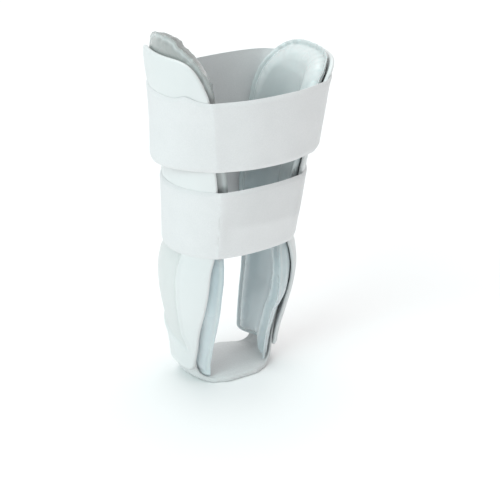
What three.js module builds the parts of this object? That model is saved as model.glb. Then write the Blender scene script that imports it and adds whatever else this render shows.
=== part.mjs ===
// Air ankle brace for a right ankle, standing on its heel strap.
// Two stiff side shells, each lined by an air cell, two wide straps round them and a strap under the heel.
// Millimetres, +Z up, toes to -Y, outer side of the ankle to -X.
import * as THREE from 'three';

// Side shells
const SHELL_HEIGHT = 231; // bottom edge to top edge of the outer shell
const INNER_SHELL_SHARE = 0.918; // the inner shell ends lower: share of the outer shell's height
const BRACE_WIDTH = 126; // nominal width across both shells at the flared top
const BRACE_DEPTH = 112; // front to back of the oval that the shells follow at the top
const INNER_LEAD = 0.04; // above the slit the inner shell reaches further forward: share of the half depth
const SHELL_THICKNESS = 3;
const SHELL_TOP_ROUND = 28; // height over which the upper corners are rounded
const SHELL_FOOT_ROUND = 6; // height over which the lower front corner is rounded
const SHELL_HEEL_ROUND = 2.5; // the same for the lower rear corner
const SHELL_FOOT_TILT = 2.5; // the lower edge runs down this far towards the front
const RELIEF_DEPTH = 1.1; // depth of the sunk rear flange
const EDGE_EASE = 0.3; // share of a wall's thickness that its eased edge loses on each face

// Air cells
const CELL_THICKNESS = 13;
const OUTER_CELL_RISE = 12; // stands above the top of the outer shell
const INNER_CELL_RISE = 3; // stands above the top of the inner shell
const CELL_REACH = 7.5; // stands out past the front edge of the shell
const CELL_REAR_REACH = 3.5; // stands out past the rear edge of the shell
const CELL_TIP = 8.5; // front lower corner hangs below the shell's rear one
const CELL_TIP_ROUND = 1.5; // height over which that corner is rounded
const CELL_TOP_ROUND = 36; // height over which a cell's upper corners are rounded
const CELL_CROWN_ROUND = 40; // the same for the outer cell's rear corner
const WELD_WIDTH = 4; // flat welded margin all round
const WELD_THICKNESS = 1.2;
const WELD_STAND = 2; // the margin stands this far off the shell
const PILLOW_ROUND = 9; // width over which the cell swells from its margin

// Straps round the shells
const STRAP_WIDTH = 50;
const STRAP_THICKNESS = 1.8;
const STRAP_SLIT = 15.4; // open band between the two straps
const SLIT_SHARE = 0.6335; // middle of the open band, as a share of the shell height
const STRAP_FLARE = 6.6; // the upper strap's lower edge stands off the outer shell
const STRAP_ARCH = 3; // small arch in the upper strap's top edge
const FRONT_TURN = 12; // how softly a strap turns off the shells in front
const UPPER_BOW = 6.5; // the upper strap bows out this far across the front
const LOWER_BOW = 2.5; // the same for the lower strap
const REAR_TURN = 45; // the same behind, where it bows out round the calf

// Strap under the heel
const HEEL_PAD_WIDTH = 50;
const HEEL_WING_WIDTH = 26;
const HEEL_WING_HEIGHT = 28; // rises this far inside each shell
const HEEL_PAD_THICKNESS = 3.4;
const HEEL_WING_THICKNESS = 2;
const HEEL_DROP = 12; // underside of the heel strap to the bottom edge of the shells

const FIT_GAP = 0.3; // clearance between pieces that touch
const SOFT_GAP = 0.6; // clearance of the soft pieces on the shells

// Oval that the outer faces of the shells follow, from the bottom edge to above the top edge.
// height: share of SHELL_HEIGHT; wide and inner: outer and inner side, as shares of half BRACE_WIDTH;
// deep: share of half BRACE_DEPTH; centre: share of BRACE_DEPTH towards the rear; front and rear: shell
// edges as shares of the half depth.
const SECTIONS = [
  { height: 0, wide: 0.603, inner: 0.603, deep: 0.571, centre: 0.134, front: 0.47, rear: 0.6 },
  { height: 0.066, wide: 0.63, inner: 0.63, deep: 0.625, centre: 0.129, front: 0.53, rear: 0.6 },
  { height: 0.131, wide: 0.68, inner: 0.68, deep: 0.688, centre: 0.12, front: 0.56, rear: 0.61 },
  { height: 0.218, wide: 0.745, inner: 0.745, deep: 0.759, centre: 0.107, front: 0.62, rear: 0.625 },
  { height: 0.288, wide: 0.77, inner: 0.77, deep: 0.777, centre: 0.096, front: 0.68, rear: 0.64 },
  { height: 0.341, wide: 0.75, inner: 0.752, deep: 0.75, centre: 0.088, front: 0.717, rear: 0.655 },
  { height: 0.38, wide: 0.709, inner: 0.717, deep: 0.714, centre: 0.077, front: 0.74, rear: 0.673 },
  { height: 0.48, wide: 0.727, inner: 0.747, deep: 0.741, centre: 0.049, front: 0.747, rear: 0.711 },
  { height: 0.598, wide: 0.76, inner: 0.786, deep: 0.773, centre: 0.021, front: 0.741, rear: 0.72 },
  { height: 0.699, wide: 0.816, inner: 0.841, deep: 0.821, centre: -0.005, front: 0.704, rear: 0.709 },
  { height: 0.786, wide: 0.873, inner: 0.896, deep: 0.875, centre: -0.025, front: 0.688, rear: 0.69 },
  { height: 0.856, wide: 0.921, inner: 0.952, deep: 0.916, centre: -0.036, front: 0.682, rear: 0.672 },
  { height: 0.895, wide: 0.956, inner: 1.007, deep: 0.955, centre: -0.041, front: 0.669, rear: 0.656 },
  { height: 0.934, wide: 0.983, inner: 1.027, deep: 0.988, centre: -0.049, front: 0.638, rear: 0.642 },
  { height: 1, wide: 1.008, inner: 1.054, deep: 1, centre: -0.0625, front: 0.607, rear: 0.643 },
  { height: 1.06, wide: 1.028, inner: 1.07, deep: 1, centre: -0.066, front: 0.59, rear: 0.643 },
];

// Air cell at the same heights. full: swell as a share of CELL_THICKNESS; reach: how far it stands out in
// front of the shell, as a share of CELL_REACH.
const SWELLS = [
  { height: 0, full: 0.62, reach: 1 },
  { height: 0.066, full: 0.66, reach: 1 },
  { height: 0.131, full: 0.72, reach: 1.2 },
  { height: 0.218, full: 0.8, reach: 1.3 },
  { height: 0.288, full: 0.82, reach: 1.15 },
  { height: 0.341, full: 0.82, reach: 0.85 },
  { height: 0.38, full: 0.82, reach: 0.55 },
  { height: 0.48, full: 0.88, reach: 0.5 },
  { height: 0.598, full: 0.95, reach: 0.5 },
  { height: 0.699, full: 1, reach: 0.5 },
  { height: 0.786, full: 1, reach: 0.45 },
  { height: 0.856, full: 1, reach: 0.4 },
  { height: 0.895, full: 1, reach: 0.45 },
  { height: 0.934, full: 0.98, reach: 0.55 },
  { height: 1, full: 0.9, reach: 0.6 },
  { height: 1.06, full: 0.85, reach: 0.6 },
];

// Height of the shell on one side: the outer one (-1) or the inner one (1).
const shellHeight = (side) => (side < 0 ? SHELL_HEIGHT : SHELL_HEIGHT * INNER_SHELL_SHARE);

const clamp = (value, low, high) => Math.min(high, Math.max(low, value));

const ease = (value) => {
  const share = clamp(value, 0, 1);
  return share * share * (3 - 2 * share);
};

// Value of one column of a table at a height above the shells' bottom edge.
function valueAt(table, column, heightAbove) {
  const last = table.length - 1;
  const share = clamp(heightAbove / SHELL_HEIGHT, 0, table[last].height);
  let row = 1;
  while (row < last && table[row].height < share) {
    row += 1;
  }
  const slope = (index) => {
    const below = table[Math.max(index - 1, 0)];
    const above = table[Math.min(index + 1, last)];
    return (above[column] - below[column]) / (above.height - below.height);
  };
  const low = table[row - 1];
  const high = table[row];
  const span = high.height - low.height;
  const t = (share - low.height) / span;
  const t2 = t * t;
  const t3 = t2 * t;
  return (
    low[column] * (2 * t3 - 3 * t2 + 1) +
    slope(row - 1) * span * (t3 - 2 * t2 + t) +
    high[column] * (3 * t2 - 2 * t3) +
    slope(row) * span * (t3 - t2)
  );
}

const section = (column, heightAbove) => valueAt(SECTIONS, column, heightAbove);

// The oval on one side at one height: half width, half depth, its middle and the shell's two edges.
function oval(heightAbove, side) {
  const outer = side < 0;
  const lead = outer ? 0 : INNER_LEAD * ease((heightAbove / SHELL_HEIGHT - 0.65) / 0.13);
  return {
    wide: (section(outer ? 'wide' : 'inner', heightAbove) * BRACE_WIDTH) / 2,
    deep: (section('deep', heightAbove) * BRACE_DEPTH) / 2,
    centre: section('centre', heightAbove) * BRACE_DEPTH,
    front: -section('front', heightAbove) - lead,
    rear: section('rear', heightAbove),
  };
}

// Point of the wall on one side: along is -1 at the oval's front end and 1 at its rear end.
function wallPoint(side, heightAbove, along, inward) {
  const ring = oval(heightAbove, side);
  const share = clamp(along, -0.97, 0.97);
  return new THREE.Vector3(
    side * (ring.wide - inward) * Math.sqrt(1 - share * share),
    ring.centre + (ring.deep - inward) * share,
    HEEL_DROP + heightAbove,
  );
}

// Sum of the tetrahedra under the faces, positive when the faces look outwards.
function signedVolume(points, faces) {
  const cross = new THREE.Vector3();
  let sum = 0;
  for (const [a, b, c] of faces) {
    cross.crossVectors(points[b], points[c]);
    sum += points[a].dot(cross);
  }
  return sum / 6;
}

function solidFrom(points, faces) {
  const outward = signedVolume(points, faces) > 0;
  const index = [];
  for (const [a, b, c] of faces) {
    index.push(a, outward ? b : c, outward ? c : b);
  }
  const geometry = new THREE.BufferGeometry();
  const flat = points.flatMap((point) => [point.x, point.y, point.z]);
  geometry.setAttribute('position', new THREE.Float32BufferAttribute(flat, 3));
  geometry.setIndex(index);
  geometry.computeVertexNormals();
  return geometry;
}

// Closed body between two grids of the same size, joined by a rim round their border.
function sheetSolid(faceGrid, backGrid) {
  const rows = faceGrid.length;
  const columns = faceGrid[0].length;
  const points = [...faceGrid.flat(), ...backGrid.flat()];
  const half = rows * columns;
  const at = (row, column) => row * columns + column;
  const faces = [];
  for (let row = 0; row < rows - 1; row += 1) {
    for (let column = 0; column < columns - 1; column += 1) {
      const a = at(row, column);
      const b = at(row, column + 1);
      const c = at(row + 1, column + 1);
      const d = at(row + 1, column);
      faces.push([a, b, c], [a, c, d]);
      faces.push([a + half, c + half, b + half], [a + half, d + half, c + half]);
    }
  }
  const border = [];
  for (let column = 0; column < columns - 1; column += 1) {
    border.push(at(0, column));
  }
  for (let row = 0; row < rows - 1; row += 1) {
    border.push(at(row, columns - 1));
  }
  for (let column = columns - 1; column > 0; column -= 1) {
    border.push(at(rows - 1, column));
  }
  for (let row = rows - 1; row > 0; row -= 1) {
    border.push(at(row, 0));
  }
  for (let step = 0; step < border.length; step += 1) {
    const a = border[step];
    const b = border[(step + 1) % border.length];
    faces.push([a, a + half, b + half], [a, b + half, b]);
  }
  return solidFrom(points, faces);
}

// Closed ring: each station is one loop of the same number of points round the section.
function ringSolid(stations) {
  const count = stations.length;
  const round = stations[0].length;
  const faces = [];
  for (let station = 0; station < count; station += 1) {
    const next = (station + 1) % count;
    for (let step = 0; step < round; step += 1) {
      const turn = (step + 1) % round;
      const a = station * round + step;
      const b = next * round + step;
      const c = next * round + turn;
      const d = station * round + turn;
      faces.push([a, b, c], [a, c, d]);
    }
  }
  return solidFrom(stations.flat(), faces);
}

// Shares across a sheet, packed towards both edges: first the edge, then the line where it is eased.
function sharesAcross(half) {
  return [...half.map((share) => -share), ...half.slice().reverse()];
}

const roundedDrop = (share, height, power) => height * (1 - Math.sqrt(1 - Math.abs(share) ** power));

// Height of a shell's top edge: the front corner is squarer than the rear one.
function shellTop(side, share) {
  const power = share < 0 ? 6.5 : 4.4;
  return shellHeight(side) - roundedDrop(share, SHELL_TOP_ROUND, power);
}

// Height of a shell's lower edge, which runs down towards the front.
function shellFoot(share) {
  const round = share < 0 ? SHELL_FOOT_ROUND : SHELL_HEEL_ROUND;
  return roundedDrop(share, round, 6) - SHELL_FOOT_TILT * ease(-share);
}

// Height of an air cell's top edge: the outer cell falls away round its rear corner.
function cellTop(side, share) {
  const outer = side < 0;
  const top = shellHeight(side) + (outer ? OUTER_CELL_RISE : INNER_CELL_RISE);
  if (outer && share > 0) {
    return top - roundedDrop(share, CELL_CROWN_ROUND, 1.6);
  }
  return top - roundedDrop(share, CELL_TOP_ROUND, outer ? 2.9 : 4);
}

// Depth to which the outer face of a shell is sunk behind its front panel.
function relief(heightAbove, along) {
  const height = heightAbove / SHELL_HEIGHT;
  const ridge = -0.2 - 0.1 * ease((0.13 - height) / 0.07);
  const behindRidge = ease((along - ridge) / 0.08);
  const step = 0.066 + 0.07 * (along + 0.3);
  const aboveStep = ease((height - step) / 0.012);
  const underStrap = 1 - ease((height - 0.4) / 0.06);
  return RELIEF_DEPTH * behindRidge * aboveStep * underStrap;
}

function shell(side) {
  const across = sharesAcross([1, 0.97, 0.9, 0.78, 0.62, 0.48, 0.34, 0.2, 0.07]);
  const up = [0, 0.006, 0.03, 0.055, 0.08, 0.105, 0.14, 0.18, 0.22, 0.26, 0.3, 0.34, 0.375, 0.41];
  up.push(0.46, 0.52, 0.58, 0.64, 0.7, 0.76, 0.81, 0.855, 0.89, 0.92, 0.95, 0.975, 0.994, 1);
  const face = [];
  const back = [];
  for (const rise of up) {
    const faceRow = [];
    const backRow = [];
    for (const share of across) {
      const low = shellFoot(share);
      const high = shellTop(side, share);
      const heightAbove = low + rise * (high - low);
      const ring = oval(heightAbove, side);
      const along = ring.front + ((share + 1) / 2) * (ring.rear - ring.front);
      const onEdge = rise === 0 || rise === 1 || Math.abs(share) === 1;
      const eased = onEdge ? EDGE_EASE * SHELL_THICKNESS : 0;
      const sunk = onEdge ? 0 : relief(heightAbove, along);
      faceRow.push(wallPoint(side, heightAbove, along, eased + sunk));
      backRow.push(wallPoint(side, heightAbove, along, SHELL_THICKNESS - eased));
    }
    face.push(faceRow);
    back.push(backRow);
  }
  return sheetSolid(face, back);
}

function airCell(side) {
  const across = sharesAcross([1, 0.89, 0.84, 0.77, 0.66, 0.48, 0.26, 0.08]);
  const up = [0, 0.021, 0.032, 0.05, 0.075, 0.12, 0.17, 0.22, 0.27, 0.31, 0.35, 0.385, 0.42, 0.48];
  up.push(0.56, 0.64, 0.72, 0.79, 0.85, 0.89, 0.925, 0.957, 0.97, 0.979, 1);
  const outerFace = [];
  const innerFace = [];
  for (const rise of up) {
    const outerRow = [];
    const innerRow = [];
    for (const share of across) {
      const footRound = share < 0 ? CELL_TIP_ROUND : SHELL_FOOT_ROUND;
      const low = roundedDrop(share, footRound, 6) - CELL_TIP * ease(-share);
      const high = cellTop(side, share);
      const heightAbove = low + rise * (high - low);
      const ring = oval(heightAbove, side);
      const front = ring.front - (CELL_REACH * valueAt(SWELLS, 'reach', heightAbove)) / ring.deep;
      const rear = ring.rear + CELL_REAR_REACH / ring.deep;
      const along = front + ((share + 1) / 2) * (rear - front);
      const fromSide = ((1 - Math.abs(share)) * (rear - front) * ring.deep) / 2;
      const fromEnd = Math.min(rise, 1 - rise) * (high - low);
      const inside = clamp((Math.min(fromSide, fromEnd) - WELD_WIDTH) / PILLOW_ROUND, 0, 1);
      const swell = Math.sqrt(1 - (1 - inside) ** 2);
      const wing = (HEEL_WING_THICKNESS + FIT_GAP) * (1 - ease((heightAbove - HEEL_WING_HEIGHT - 2) / 18));
      const outside = SHELL_THICKNESS + SOFT_GAP + wing + WELD_STAND * (1 - swell);
      const full = CELL_THICKNESS * valueAt(SWELLS, 'full', heightAbove);
      const thickness = WELD_THICKNESS + (full - WELD_THICKNESS) * swell;
      outerRow.push(wallPoint(side, heightAbove, along, outside));
      innerRow.push(wallPoint(side, heightAbove, along, outside + thickness));
    }
    outerFace.push(outerRow);
    innerFace.push(innerRow);
  }
  return sheetSolid(outerFace, innerFace);
}

// Curve between two points that leaves and arrives along given directions.
function turnCurve(from, to, leave, arrive, share) {
  const t2 = share * share;
  const t3 = t2 * share;
  return new THREE.Vector2(0, 0)
    .addScaledVector(from, 2 * t3 - 3 * t2 + 1)
    .addScaledVector(leave, t3 - 2 * t2 + share)
    .addScaledVector(to, 3 * t2 - 2 * t3)
    .addScaledVector(arrive, t3 - t2);
}

// Inner path of a strap at one height: outer shell, round the rear, inner shell, across the front.
function strapPath(heightAbove, standOff, bow) {
  const arcSteps = 16;
  const turnSteps = 10;
  const arcPoint = (side, share) => {
    const ring = oval(heightAbove, side);
    const past = 1.2 / ring.deep;
    const front = ring.front - past;
    const along = front + share * (ring.rear + past - front);
    const off = SOFT_GAP + standOff(side, along);
    const cosine = Math.sqrt(1 - along * along);
    return new THREE.Vector2(side * (ring.wide + off) * cosine, ring.centre + (ring.deep + off) * along);
  };
  const endDirection = (side, share, step) => {
    const direction = arcPoint(side, share).sub(arcPoint(side, share - step));
    return direction.normalize();
  };
  const path = [];
  for (let step = 0; step <= arcSteps; step += 1) {
    path.push(arcPoint(-1, step / arcSteps));
  }
  const turns = (from, to, leave, arrive, out) => {
    for (let step = 1; step < turnSteps; step += 1) {
      const share = (1 - Math.cos((Math.PI * step) / turnSteps)) / 2;
      const point = turnCurve(from, to, leave, arrive, share);
      point.y -= out * Math.sin(Math.PI * share);
      path.push(point);
    }
  };
  const rearLeave = endDirection(-1, 1, 0.02).multiplyScalar(REAR_TURN);
  const rearArrive = endDirection(1, 1, 0.02).multiplyScalar(-REAR_TURN);
  turns(arcPoint(-1, 1), arcPoint(1, 1), rearLeave, rearArrive, 0);
  for (let step = arcSteps; step >= 0; step -= 1) {
    path.push(arcPoint(1, step / arcSteps));
  }
  const frontLeave = endDirection(1, 0, -0.02).multiplyScalar(FRONT_TURN);
  const frontArrive = endDirection(-1, 0, -0.02).multiplyScalar(-FRONT_TURN);
  turns(arcPoint(1, 0), arcPoint(-1, 0), frontLeave, frontArrive, bow);
  return path;
}

// Section of a strap: across is the share of its width, out the share of its thickness.
const STRAP_SECTION = [
  { across: 0, out: 0.5 },
  { across: 0.015, out: 1 },
  { across: 0.16, out: 1 },
  { across: 0.38, out: 1 },
  { across: 0.62, out: 1 },
  { across: 0.84, out: 1 },
  { across: 0.985, out: 1 },
  { across: 1, out: 0.5 },
  { across: 0.985, out: 0 },
  { across: 0.84, out: 0 },
  { across: 0.62, out: 0 },
  { across: 0.38, out: 0 },
  { across: 0.16, out: 0 },
  { across: 0.015, out: 0 },
];

// Small arch of the upper strap's top edge, towards the front of the outer shell.
const archAt = (side, along) => (side < 0 ? Math.exp(-(((along + 0.46) / 0.11) ** 2)) : 0);

// The flare of the lower edge is widest at the middle of the side and fades towards both shell edges.
const flareAt = (along) => Math.exp(-(((along - 0.05) / 0.5) ** 2));

function strap(lowEdge, flare, arch, bow) {
  const layers = STRAP_SECTION.map(({ across, out }) => {
    const heightAbove = lowEdge + across * STRAP_WIDTH;
    const standOff = (side, along) => {
      const sideShare = side < 0 ? 1 : 0.6;
      const lift = arch * 0.5 * archAt(side, along) * ease((across - 0.6) / 0.4);
      return flare * sideShare * flareAt(along) * (1 - across) + lift;
    };
    const path = strapPath(heightAbove, standOff, bow);
    const ring = oval(heightAbove, -1);
    return path.map((point, index) => {
      const before = path[(index + path.length - 1) % path.length];
      const after = path[(index + 1) % path.length];
      const direction = after.clone().sub(before).normalize();
      const outward = new THREE.Vector2(-direction.y, direction.x);
      if (outward.dot(new THREE.Vector2(point.x, point.y - ring.centre)) < 0) {
        outward.negate();
      }
      const placed = point.clone().addScaledVector(outward, out * STRAP_THICKNESS);
      const onArc = Math.abs(point.x) > 0.3 * ring.wide;
      const along = (point.y - ring.centre) / ring.deep;
      const rise = onArc ? arch * archAt(point.x, along) * ease((across - 0.5) / 0.5) : 0;
      return new THREE.Vector3(placed.x, placed.y, HEEL_DROP + heightAbove + rise);
    });
  });
  const stations = layers[0].map((_, index) => layers.map((layer) => layer[index]));
  return ringSolid(stations);
}

// Strap under the heel: flat pad, rounded up at both sides into a narrower wing inside each shell.
function heelStrap() {
  const inward = SHELL_THICKNESS + FIT_GAP;
  const middle = oval(0, 1).centre;
  const wingX = (share, heightAbove) => {
    const ring = oval(heightAbove, 1);
    const along = (middle + (share * HEEL_WING_WIDTH) / 2 - ring.centre) / (ring.deep - inward);
    return (ring.wide - inward) * Math.sqrt(1 - along * along);
  };
  const across = [-1, -0.96, -0.6, -0.2, 0.2, 0.6, 0.96, 1];
  const stations = [];
  for (const share of [0, 0.4, 0.75, 1]) {
    stations.push({ part: 'pad', share });
  }
  for (const share of [0.2, 0.4, 0.6, 0.8, 1]) {
    stations.push({ part: 'corner', share });
  }
  for (const share of [0.3, 0.6, 0.9, 0.97, 1]) {
    stations.push({ part: 'wing', share });
  }
  const both = [
    ...stations.slice(1).reverse().map((station) => ({ ...station, side: -1 })),
    ...stations.map((station) => ({ ...station, side: 1 })),
  ];
  const under = [];
  const over = [];
  for (const { part, share, side } of both) {
    const padNarrowing = 0.35 * ease((share - 0.4) / 0.6);
    const sideNarrowing = part === 'corner' ? 0.35 + 0.65 * share : 1;
    const narrowing = part === 'pad' ? padNarrowing : sideNarrowing;
    const tip = part === 'wing' && share > 0.9 ? 0.12 * ((share - 0.9) / 0.1) ** 2 : 0;
    const width = (HEEL_PAD_WIDTH + (HEEL_WING_WIDTH - HEEL_PAD_WIDTH) * ease(narrowing)) * (1 - tip);
    const thinning = part === 'pad' ? 0 : part === 'corner' ? share : 1;
    const full = HEEL_PAD_THICKNESS + (HEEL_WING_THICKNESS - HEEL_PAD_THICKNESS) * thinning;
    const underRow = [];
    const overRow = [];
    for (const place of across) {
      const atEdge = Math.abs(place) === 1 || (part === 'wing' && share === 1);
      const wingShare = part === 'wing' ? place * (1 - tip) : place;
      const foot = wingX(wingShare, 0);
      const flat = foot - HEEL_DROP;
      const angle = (share * Math.PI) / 2;
      let x = share * flat;
      let z = 0;
      let inX = 0;
      let inZ = 1;
      if (part === 'corner') {
        x = flat + HEEL_DROP * Math.sin(angle);
        z = HEEL_DROP * (1 - Math.cos(angle));
        inX = -Math.sin(angle);
        inZ = Math.cos(angle);
      } else if (part === 'wing') {
        z = HEEL_DROP + share * HEEL_WING_HEIGHT;
        x = wingX(wingShare, share * HEEL_WING_HEIGHT);
        inX = -1;
        inZ = 0;
      }
      const y = middle + (place * width) / 2;
      const eased = atEdge ? EDGE_EASE * full : 0;
      const shown = part === 'pad' ? 0 : eased;
      underRow.push(new THREE.Vector3(side * (x + inX * shown), y, z + inZ * shown));
      const depth = full - eased;
      overRow.push(new THREE.Vector3(side * (x + inX * depth), y, z + inZ * depth));
    }
    under.push(underRow);
    over.push(overRow);
  }
  return sheetSolid(under, over);
}

function piece(name, geometry, color, roughness) {
  const material = new THREE.MeshStandardMaterial({ color, roughness, metalness: 0 });
  const mesh = new THREE.Mesh(geometry, material);
  mesh.name = name;
  return mesh;
}

const slitMiddle = SLIT_SHARE * SHELL_HEIGHT;
const upperLow = slitMiddle + STRAP_SLIT / 2;
const lowerLow = slitMiddle - STRAP_SLIT / 2 - STRAP_WIDTH;

const brace = new THREE.Group();
brace.name = 'air_ankle_brace';
brace.add(piece('lateral_shell', shell(-1), 0xe9f1f0, 0.42));
brace.add(piece('medial_shell', shell(1), 0xe9f1f0, 0.42));
brace.add(piece('lateral_aircell', airCell(-1), 0xa9b7bd, 0.3));
brace.add(piece('medial_aircell', airCell(1), 0xa9b7bd, 0.3));
brace.add(piece('upper_strap', strap(upperLow, STRAP_FLARE, STRAP_ARCH, UPPER_BOW), 0xdfe1e0, 0.85));
brace.add(piece('lower_strap', strap(lowerLow, 0, 0, LOWER_BOW), 0xdcdedd, 0.85));
brace.add(piece('heel_strap', heelStrap(), 0xd2d4d3, 0.85));

// The middle of the footprint goes to the origin.
const box = new THREE.Box3().setFromObject(brace);
const middle = box.getCenter(new THREE.Vector3());
for (const mesh of brace.children) {
  mesh.geometry.translate(-middle.x, -middle.y, -box.min.z);
}

export default brace;
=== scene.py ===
"""Looks of the air ankle brace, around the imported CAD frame. Lengths in this script are millimetres."""

import math

import bmesh
import bpy
import numpy as np
from mathutils import Matrix, Vector
from mathutils.kdtree import KDTree


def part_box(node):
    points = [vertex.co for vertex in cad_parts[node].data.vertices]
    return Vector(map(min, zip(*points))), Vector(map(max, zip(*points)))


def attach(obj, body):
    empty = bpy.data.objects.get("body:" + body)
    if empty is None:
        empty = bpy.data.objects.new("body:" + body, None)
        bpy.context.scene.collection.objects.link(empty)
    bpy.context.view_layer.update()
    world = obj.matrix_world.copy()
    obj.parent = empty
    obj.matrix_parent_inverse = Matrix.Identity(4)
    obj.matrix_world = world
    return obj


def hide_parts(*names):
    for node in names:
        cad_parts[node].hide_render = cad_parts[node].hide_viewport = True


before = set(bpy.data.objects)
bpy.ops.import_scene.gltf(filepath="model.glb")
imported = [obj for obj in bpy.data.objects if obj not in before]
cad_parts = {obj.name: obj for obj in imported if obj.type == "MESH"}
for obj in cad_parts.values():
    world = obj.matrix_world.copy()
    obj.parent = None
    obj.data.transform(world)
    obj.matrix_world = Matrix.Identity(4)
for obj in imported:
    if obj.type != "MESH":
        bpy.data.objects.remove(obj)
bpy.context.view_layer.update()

MM = 0.001

# Sizes of the CAD model
SHELL_HEIGHT = 231.0
INNER_SHELL_SHARE = 0.918
BRACE_WIDTH = 126.0
BRACE_DEPTH = 112.0
INNER_LEAD = 0.04  # the inner shell's front edge lies this far further forward above
LEAD_START = 0.65  # share of the height where it begins to
LEAD_SPAN = 0.13
SHELL_THICKNESS = 3.0
SHELL_TOP_ROUND = 28.0
SHELL_FOOT_ROUND = 6.0
SHELL_HEEL_ROUND = 2.5
SHELL_FOOT_TILT = 2.5
CELL_THICKNESS = 13.0
OUTER_CELL_RISE = 12.0
INNER_CELL_RISE = 3.0
CELL_REACH = 7.5
CELL_REAR_REACH = 3.5
CELL_TIP = 8.5
CELL_TIP_ROUND = 1.5
CELL_TOP_ROUND = 36.0
CELL_CROWN_ROUND = 40.0
STRAP_WIDTH = 50.0
STRAP_SLIT = 15.4
SLIT_SHARE = 0.6335
STRAP_ARCH = 3.0
REAR_TURN = 45.0
HEEL_PAD_WIDTH = 50.0
HEEL_WING_WIDTH = 26.0
HEEL_WING_HEIGHT = 28.0
HEEL_PAD_THICKNESS = 3.4
HEEL_WING_THICKNESS = 2.0
HEEL_DROP = 12.0
FIT_GAP = 0.3
SOFT_GAP = 0.6
OVAL_END = 0.97  # a wall ends here at the latest, as a share of the oval's half depth

# The CAD model's sections: shares of its height, half width, half depth and depth, the shells' edges along
# the oval, and the swell and reach of the air cells
COLUMNS = ("height", "wide", "inner", "deep", "centre", "front", "rear", "full", "reach")
SECTIONS = np.array([
    (0, 0.603, 0.603, 0.571, 0.134, 0.47, 0.6, 0.62, 1),
    (0.066, 0.63, 0.63, 0.625, 0.129, 0.53, 0.6, 0.66, 1),
    (0.131, 0.68, 0.68, 0.688, 0.12, 0.56, 0.61, 0.72, 1.2),
    (0.218, 0.745, 0.745, 0.759, 0.107, 0.62, 0.625, 0.8, 1.3),
    (0.288, 0.77, 0.77, 0.777, 0.096, 0.68, 0.64, 0.82, 1.15),
    (0.341, 0.75, 0.752, 0.75, 0.088, 0.717, 0.655, 0.82, 0.85),
    (0.38, 0.709, 0.717, 0.714, 0.077, 0.74, 0.673, 0.82, 0.55),
    (0.48, 0.727, 0.747, 0.741, 0.049, 0.747, 0.711, 0.88, 0.5),
    (0.598, 0.76, 0.786, 0.773, 0.021, 0.741, 0.72, 0.95, 0.5),
    (0.699, 0.816, 0.841, 0.821, -0.005, 0.704, 0.709, 1, 0.5),
    (0.786, 0.873, 0.896, 0.875, -0.025, 0.688, 0.69, 1, 0.45),
    (0.856, 0.921, 0.952, 0.916, -0.036, 0.682, 0.672, 1, 0.4),
    (0.895, 0.956, 1.007, 0.955, -0.041, 0.669, 0.656, 1, 0.45),
    (0.934, 0.983, 1.027, 0.988, -0.049, 0.638, 0.642, 0.98, 0.55),
    (1, 1.008, 1.054, 1, -0.0625, 0.607, 0.643, 0.9, 0.6),
    (1.06, 1.028, 1.07, 1, -0.066, 0.59, 0.643, 0.85, 0.6),
])

# Camera of the photograph: azimuth and elevation in degrees, aim in the CAD source's millimetres,
# distance in metres
AZIMUTH = -33.0
ELEVATION = 24.3
AIM = (8.3, -5.4, 92.0)
DISTANCE = 1.25
LENS = 135.0


# Small functions of shape


def ease(value):
    share = np.clip(value, 0.0, 1.0)
    return share * share * (3 - 2 * share)


def section(column, height):
    """A column of the table at heights above the shells' bottom edge, as the CAD model blends it."""
    rows, values = SECTIONS[:, 0], SECTIONS[:, COLUMNS.index(column)]
    share = np.clip(np.asarray(height, float) / SHELL_HEIGHT, 0, rows[-1])
    row = np.clip(np.searchsorted(rows, share), 1, len(rows) - 1)
    before = np.maximum(np.arange(len(rows)) - 1, 0)
    after = np.minimum(np.arange(len(rows)) + 1, len(rows) - 1)
    slope = (values[after] - values[before]) / (rows[after] - rows[before])
    span = rows[row] - rows[row - 1]
    t = (share - rows[row - 1]) / span
    return (
        values[row - 1] * (2 * t**3 - 3 * t**2 + 1)
        + slope[row - 1] * span * (t**3 - 2 * t**2 + t)
        + values[row] * (3 * t**2 - 2 * t**3)
        + slope[row] * span * (t**3 - t**2)
    )


def oval(height, side):
    """Half width, half depth and middle of the oval on one side, and the shell's two edges on it."""
    tall = np.asarray(height) / SHELL_HEIGHT
    lead = 0.0 if side < 0 else INNER_LEAD * ease((tall - LEAD_START) / LEAD_SPAN)
    return (
        section("wide" if side < 0 else "inner", height) * BRACE_WIDTH / 2,
        section("deep", height) * BRACE_DEPTH / 2,
        section("centre", height) * BRACE_DEPTH,
        -section("front", height) - lead,
        section("rear", height),
    )


# The CAD model is moved so that the middle of its footprint is the origin.
heel_low, heel_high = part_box("heel_strap")
ORIGIN = np.array([
    (heel_low.x + heel_high.x) / 2 / MM,
    (heel_low.y + heel_high.y) / 2 / MM - float(section("centre", 0)) * BRACE_DEPTH,
    0.0,
])


def make_camera():
    """The photograph's camera, from the five values above."""
    a, e = math.radians(AZIMUTH), math.radians(ELEVATION)
    right = Vector((math.cos(a), math.sin(a), 0))
    back = Vector((math.sin(a) * math.cos(e), -math.cos(a) * math.cos(e), math.sin(e)))
    up = back.cross(right)
    cam = bpy.data.objects.new("camera", bpy.data.cameras.new("camera"))
    bpy.context.scene.collection.objects.link(cam)
    place = Vector((ORIGIN + AIM) * MM) + back * DISTANCE
    cam.matrix_world = Matrix.Translation(place) @ Matrix((right, up, back)).transposed().to_4x4()
    cam.data.lens = LENS
    cam.data.sensor_width = 36.0
    bpy.context.scene.camera = cam


make_camera()


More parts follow.
